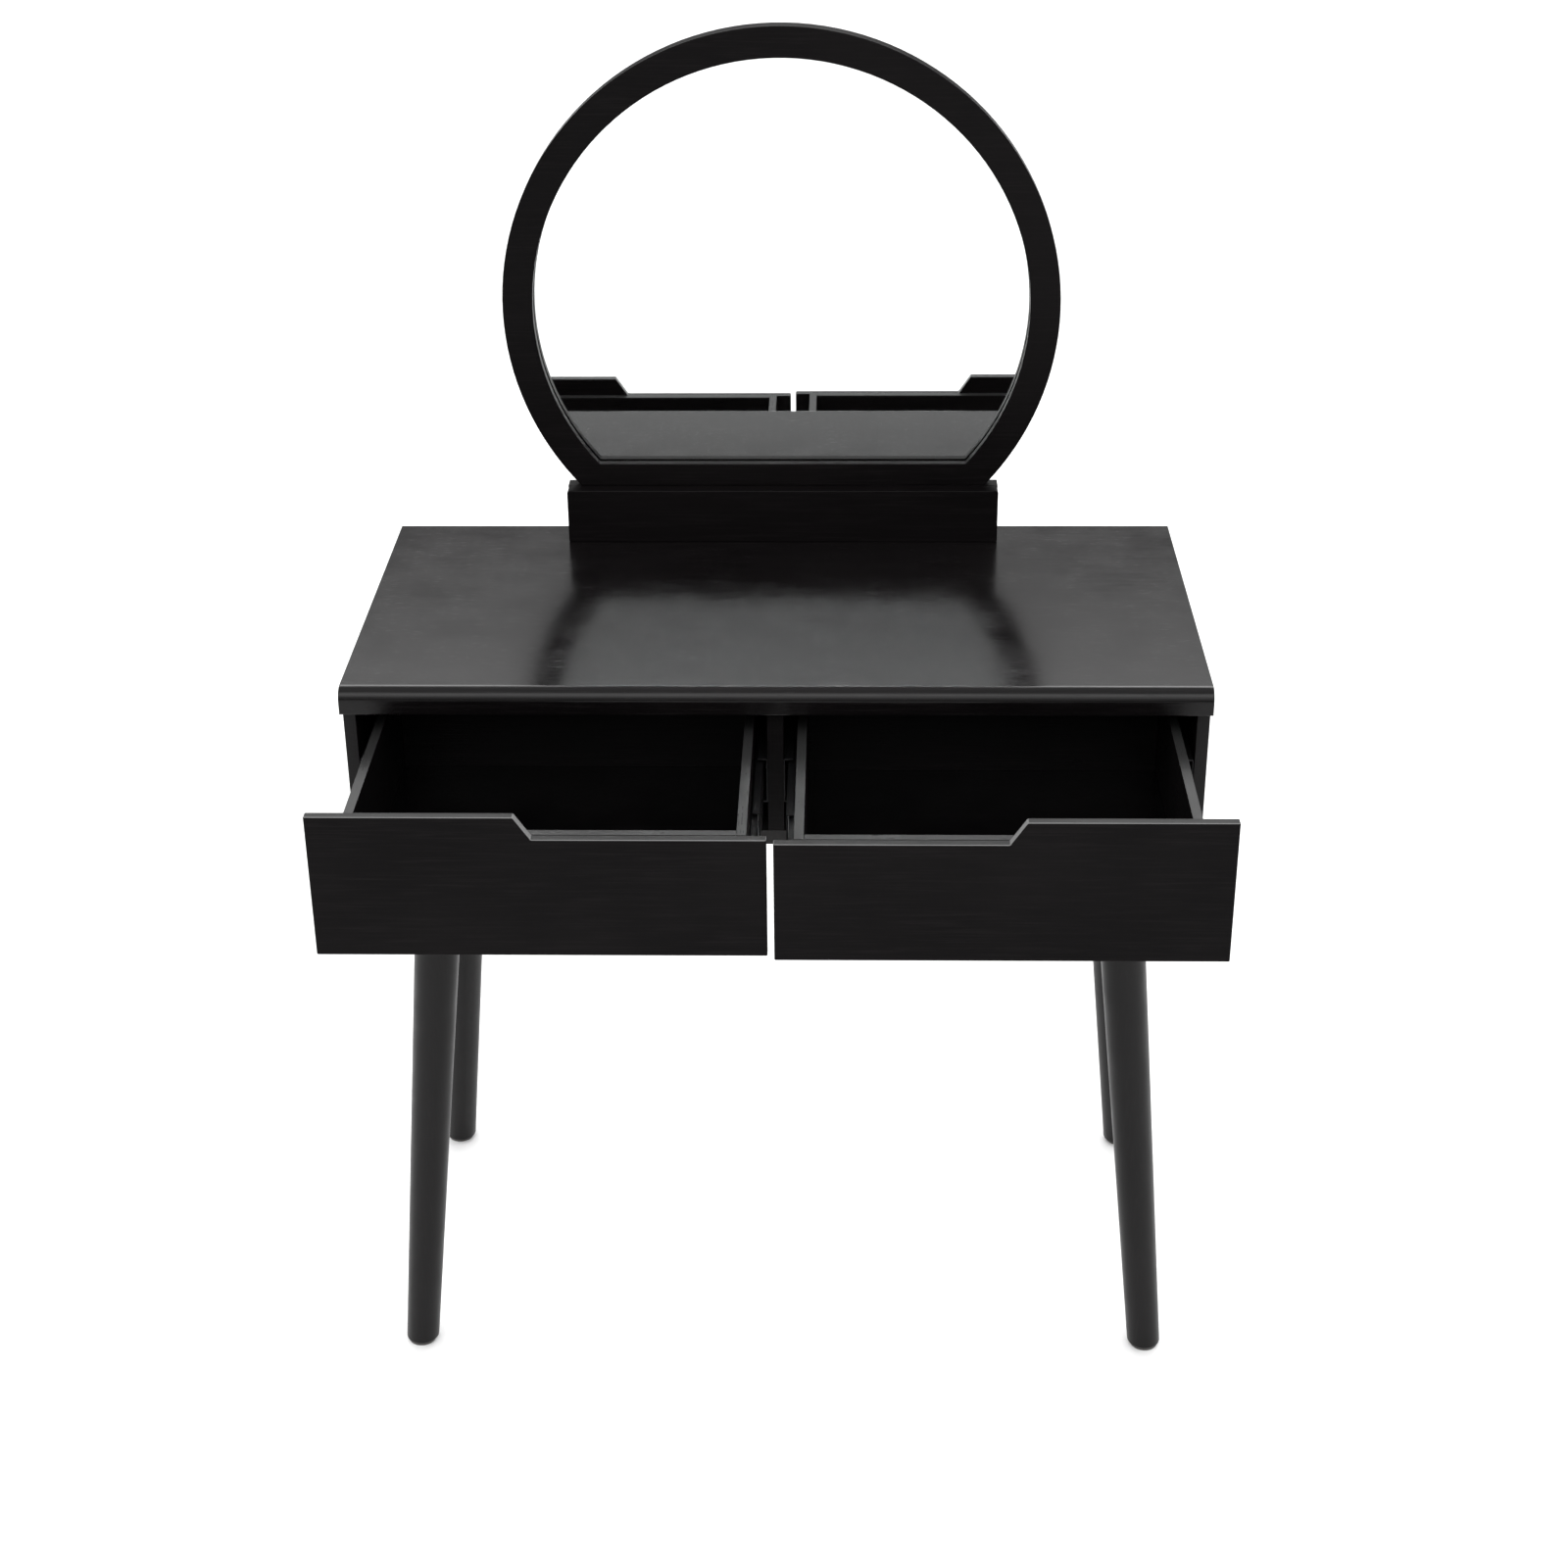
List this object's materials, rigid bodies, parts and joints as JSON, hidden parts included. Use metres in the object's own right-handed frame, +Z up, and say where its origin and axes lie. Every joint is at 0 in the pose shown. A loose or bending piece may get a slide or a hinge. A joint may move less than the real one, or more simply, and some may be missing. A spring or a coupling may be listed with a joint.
{
  "type": "vanity table with mirror",
  "caption": "Lacquered dressing table on splayed tapered legs, with side-by-side drawers on telescopic slides and a round mirror on a low plinth.",
  "frame": {"origin": "on the floor under the middle of the box that the object fills with the drawers as they stand, partly open", "axes": "+Z up, +X to the user's right, and the drawers open towards -Y; the mirror faces -Y"},
  "size_m": [0.803, 0.6004, 1.2799],
  "materials": {
    "lacquered_board": "satin black lacquer on board, semi-gloss, rounded and sealed edges",
    "lacquered_box": "satin black lacquer on the drawer box boards",
    "drawer_tray": "smooth glossy black panel in the drawer's bottom",
    "inner_board": "matt black panel, hidden and rear faces",
    "lacquered_leg": "satin black lacquer on turned solid wood",
    "lacquered_frame": "satin black lacquer on the routed ring",
    "mirror": "clear silvered glass mirror",
    "dark_steel": "black electrophoretic coating on folded steel",
    "zinc": "bright zinc plated steel fasteners",
    "felt": "matt dark foot glide"
  },
  "bodies": {
    "root": {"table_top": "lacquered_board", "side_panel_left": "lacquered_board", "side_panel_right": "lacquered_board", "centre_divider": "lacquered_board", "bottom_panel": "inner_board", "back_panel": "inner_board", "carcass_screws": "zinc", "cam_locks": "zinc", "cam_bolts": "zinc", "leg_front_left": "lacquered_leg", "leg_front_right": "lacquered_leg", "leg_rear_left": "lacquered_leg", "leg_rear_right": "lacquered_leg", "leg_plates": "dark_steel", "leg_plate_screws": "zinc", "hanger_bolts": "zinc", "foot_glides": "felt", "plinth_front": "lacquered_board", "plinth_shelf": "lacquered_board", "plinth_side_left": "lacquered_board", "plinth_side_right": "lacquered_board", "plinth_screws": "zinc", "mirror_frame": "lacquered_frame", "mirror_glass": "mirror", "mirror_back_board": "inner_board", "mirror_clips": "zinc", "mirror_batten_left": "inner_board", "mirror_batten_right": "inner_board", "mirror_screws": "zinc", "left_outboard_slide_cabinet": "dark_steel", "left_inboard_slide_cabinet": "dark_steel", "right_outboard_slide_cabinet": "dark_steel", "right_inboard_slide_cabinet": "dark_steel", "slide_cabinet_screws": "zinc"},
    "left_middle": {"left_outboard_slide_middle": "dark_steel", "left_inboard_slide_middle": "dark_steel"},
    "right_middle": {"right_outboard_slide_middle": "dark_steel", "right_inboard_slide_middle": "dark_steel"},
    "left_drawer": {"left_drawer_front": "lacquered_board", "left_drawer_box_front": "lacquered_box", "left_drawer_box_back": "lacquered_box", "left_drawer_wall_outboard": "lacquered_box", "left_drawer_wall_inboard": "lacquered_box", "left_drawer_tray": "drawer_tray", "left_drawer_screws": "zinc", "left_outboard_slide_drawer": "dark_steel", "left_inboard_slide_drawer": "dark_steel", "left_slide_drawer_screws": "zinc"},
    "right_drawer": {"right_drawer_front": "lacquered_board", "right_drawer_box_front": "lacquered_box", "right_drawer_box_back": "lacquered_box", "right_drawer_wall_outboard": "lacquered_box", "right_drawer_wall_inboard": "lacquered_box", "right_drawer_tray": "drawer_tray", "right_drawer_screws": "zinc", "right_outboard_slide_drawer": "dark_steel", "right_inboard_slide_drawer": "dark_steel", "right_slide_drawer_screws": "zinc"}
  },
  "joints": [
    {"name": "left_drawer_slide", "type": "slide", "parent": "root", "child": "left_drawer", "axis": [0, -1, 0], "range_m": [-0.193, 0.107]},
    {"name": "right_drawer_slide", "type": "slide", "parent": "root", "child": "right_drawer", "axis": [0, -1, 0], "range_m": [-0.2, 0.1]},
    {"name": "left_middle_slide", "type": "slide", "parent": "root", "child": "left_middle", "axis": [0, -1, 0], "range_m": [-0.0965, 0.0535]},
    {"name": "right_middle_slide", "type": "slide", "parent": "root", "child": "right_middle", "axis": [0, -1, 0], "range_m": [-0.1, 0.05]}
  ],
  "couplings": [
    {"joint": "left_middle_slide", "follows": "left_drawer_slide", "ratio": 0.5},
    {"joint": "right_middle_slide", "follows": "right_drawer_slide", "ratio": 0.5}
  ]
}
